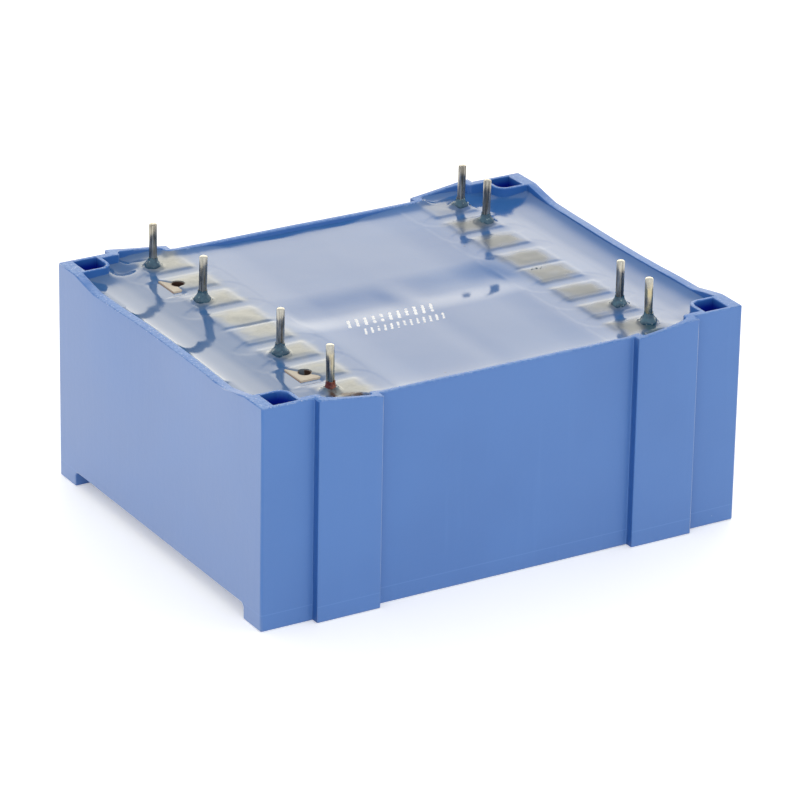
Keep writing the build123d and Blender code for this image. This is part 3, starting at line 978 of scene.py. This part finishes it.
# %% Material: collars
collar_teal, tree, shader, where = new_material("collar_resin", IOR=1.54, Roughness=0.16)
blotch = noise_at(where, 1500.0, 4.0, 0.65)
teal = two_tone(blotch, (0.014, 0.06, 0.11, 1), (0.04, 0.12, 0.18, 1))
crust = use(speck_group, Place=where, Scale=4200.0, Size=0.38, Share=0.12)[0]
wire(shader, coats(teal, ((0.3, 0.38, 0.38, 1), crust, 0.6)), normal=bump(blotch, 0.05, 0.6))

flux_brown, tree, shader, where = new_material("flux_brown", IOR=1.5, Roughness=0.25)
blotch = noise_at(where, 1300.0, 4.0, 0.65)
wire(shader, two_tone(blotch, (0.09, 0.016, 0.009, 1), (0.26, 0.07, 0.035, 1)),
     normal=bump(blotch, 0.05, 0.6))

froth_pale, tree, shader, where = new_material("froth_resin", IOR=1.54, Roughness=0.2)
cloudy = noise_at(where, 900.0)
wire(shader, two_tone(cloudy, (0.1, 0.17, 0.22, 1), (0.5, 0.54, 0.54, 1), 0.3, 0.5))

for number, collar in collars.items():
    dress(collar, flux_brown if number == 4 else collar_teal)
dress(froth, froth_pale)

# %% [markdown]
# ## Tinned pins
# The wire was drawn through a die and dipped in tin: fine upright lines, a little stain in patches,
# and a bright sheared tip.

# %% Material: tin
tin, tree, shader, where = new_material("tinned_wire", Metallic=1.0)
lines = noise_at(stretched(where, 1.0, 1.0, 0.05), 6000.0, 3.0, 0.6)
stain = noise_at(where, 700.0, 4.0, 0.6)
metal = two_tone(lines, (0.13, 0.125, 0.12, 1), (0.56, 0.54, 0.5, 1), 0.38, 0.62)
metal = coats(metal, ((0.16, 0.15, 0.13, 1), mask(stain, 0.4, 0.62), 0.5),
              ((0.55, 0.48, 0.3, 1), attribute(tree, "warm"), mask(stain, 0.62, 0.4)),
              ((0.6, 0.59, 0.53, 1), attribute(tree, "tip"), 0.8))
wire(shader, metal, scaled(lines, 0.25, 0.15), bump(lines, 0.02, 0.7))
for pin in pins.values():
    dress(pin, tin)

# %% [markdown]
# ## What shows of the bobbins, and the sealed pieces
# The bobbins are cream nylon. Only the bare ends of two blocks are seen, with a well that flux has
# stained dark red brown. The core, windings, tapes and leads are sealed in, but each still gets the
# finish that it has, for whoever opens the model.

# %% Materials: nylon, ink and the sealed pieces
nylon, tree, shader, where = new_material("cream_nylon", IOR=1.53)
grain = use(grain_group, Place=where, Scale=2200.0)
cream = mix_colour(grain["Tone"], (0.4, 0.33, 0.25, 1), (0.52, 0.46, 0.37, 1))
off_x, off_y = (maths("ABSOLUTE", axis) for axis in axes_of(where)[:2])
from_row = maths("SUBTRACT", off_x, row_x * mm)
from_well = maths("SUBTRACT", off_y, well_y * mm)
away = maths("SQRT", plus(times(from_row, from_row), times(from_well, from_well)))
cream = two_tone(away, (0.035, 0.006, 0.003, 1), cream, 0.57 * mm, 0.75 * mm)
cream = coats(cream, ((0.14, 0.05, 0.025, 1), mask(off_x, 18.78 * mm, 18.86 * mm), 0.8))
wire(shader, cream, scaled(grain["Tone"], 0.1, 0.4), bump(grain["Height"], 0.01, 0.6))

ink_white, tree, shader, where = new_material("white_ink", Roughness=0.5)
speckle = noise_at(where, 4000.0, 3.0)
wire(shader, two_tone(speckle, (0.72, 0.75, 0.8, 1), (0.86, 0.87, 0.88, 1)))
dress(ink, ink_white)

steel, tree, shader, where = new_material("core_sheet", Metallic=1.0)
sheet = noise_at(stretched(where, 0.1, 0.1, 4.0), 900.0)
wire(shader, two_tone(sheet, (0.2, 0.2, 0.21, 1), (0.36, 0.36, 0.37, 1)),
     scaled(sheet, 0.3, 0.25))

copper, tree, shader, where = new_material("enamelled_copper", Metallic=1.0)
turns = follow("ShaderNodeTexWave", {"Vector": where, "Scale": 900.0, "Distortion": 0.4},
               bands_direction="X")["Fac"]
wire(shader, mix_colour(turns, (0.36, 0.1, 0.03, 1), (0.78, 0.3, 0.12, 1)),
     scaled(turns, 0.1, 0.2), bump(turns, 0.1, 0.8))

tape, tree, shader, where = new_material("winding_tape", IOR=1.55)
weave = noise_at(where, 700.0, 3.0)
wire(shader, two_tone(weave, (0.62, 0.4, 0.06, 1), (0.78, 0.56, 0.12, 1)),
     scaled(weave, 0.15, 0.15))

solder, tree, shader, where = new_material("soldered_lead", Metallic=1.0)
crust = noise_at(where, 1800.0, 4.0, 0.65)
wire(shader, two_tone(crust, (0.42, 0.4, 0.38, 1), (0.5, 0.25, 0.14, 1), 0.4, 0.6),
     scaled(crust, 0.3, 0.2))

finishes = {"bobbin": nylon, "laminations": steel, "winding": copper, "tape": tape, "lead": solder,
            "pin": tin, "case": case_plastic, "resin": resin_blue}
for name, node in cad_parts.items():
    for slot in node.material_slots:
        slot.material = next(finish for word, finish in finishes.items() if word in name)
print("finishes:", len(bpy.data.materials))

# %% [markdown]
# ## Which solid each piece stands for
# Every piece rides on the one body of the part. A piece that replaces a solid hides it.

# %% Ride and replace
for piece in (case_piece, resin, ink, froth, *pins.values(), *collars.values()):
    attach(piece, "root")
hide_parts("case")
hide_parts("potting_resin")
for number, pin in pins.items():
    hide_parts(f"pin_{number}")

# %% [markdown]
# ## Floor and light
# The object lies on a plain white table under an even white sky, which shows each colour about as
# it is written. A large soft lamp in front lifts the long wall a little. The only stronger light is
# a wide glow low behind the object, as from a lit backdrop: the resin mirrors it. The table is a
# little brighter to the camera and to mirrors than it is as a lamp, so that it looks white and
# still keeps the shadow.

# %% Floor and light
bpy.ops.object.select_all(action="DESELECT")
bpy.ops.mesh.primitive_plane_add(size=6, location=(0, 0, 0))
floor = bpy.context.object
floor.name = "floor"
table, tree, shader, where = new_material("white_table", Roughness=0.6, Emission_Color=(1, 1, 1, 1))
wire(shader, mix_colour(noise_at(where, 3.0), (0.93, 0.93, 0.93, 1), (0.95, 0.95, 0.95, 1)))
rays = add_node(tree, "ShaderNodeLightPath").outputs
seen = maths("MAXIMUM", rays["Is Camera Ray"], rays["Is Glossy Ray"])
tree.links.new(times(seen, 0.3), shader.inputs["Emission Strength"])
dress(floor, table)
floor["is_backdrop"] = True

lamp_size, lamp_share = 0.8, 0.28
data = bpy.data.lights.new("lamp_front", "AREA")
data.shape, data.size, data.energy = "SQUARE", lamp_size, lamp_share * math.pi * lamp_size ** 2
lamp = bpy.data.objects.new("lamp_front", data)
bpy.context.scene.collection.objects.link(lamp)
lamp_place = Vector((-0.3, -0.85, 0.3))
aim = (-lamp_place).to_track_quat("-Z", "Y")
lamp.matrix_world = Matrix.Translation(lamp_place) @ aim.to_matrix().to_4x4()

ambient, glow_strength = 0.95, 2.6
world = bpy.data.worlds.new("sky")
bpy.context.scene.world = world
world.use_nodes = True
tree = world.node_tree
sky = tree.nodes["Background"]
way = add_node(tree, "ShaderNodeTexCoord").outputs["Generated"]
behind = follow("ShaderNodeVectorMath", {0: way, 1: (0.515, 0.857, 0.0)},
                operation="DOT_PRODUCT")["Value"]
to_camera = add_node(tree, "ShaderNodeLightPath").outputs["Is Camera Ray"]
glow = times(mask(behind, 0.6, 0.88), mask(axes_of(way)[2], 0.6, 0.41))
glow = times(glow, maths("SUBTRACT", 1.0, to_camera))
tree.links.new(mix_colour(glow, (1, 1, 1, 1), (1, 0.94, 0.8, 1)), sky.inputs["Color"])
level = scaled(to_camera, 1 - ambient, ambient)
tree.links.new(plus(level, times(glow, glow_strength - ambient)), sky.inputs["Strength"])
bpy.context.scene.view_settings.view_transform = "Standard"

# %% Sizes and finish
low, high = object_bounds()
print("looks box in mm:", [round(v / mm, 2) for v in (*low, *high)])
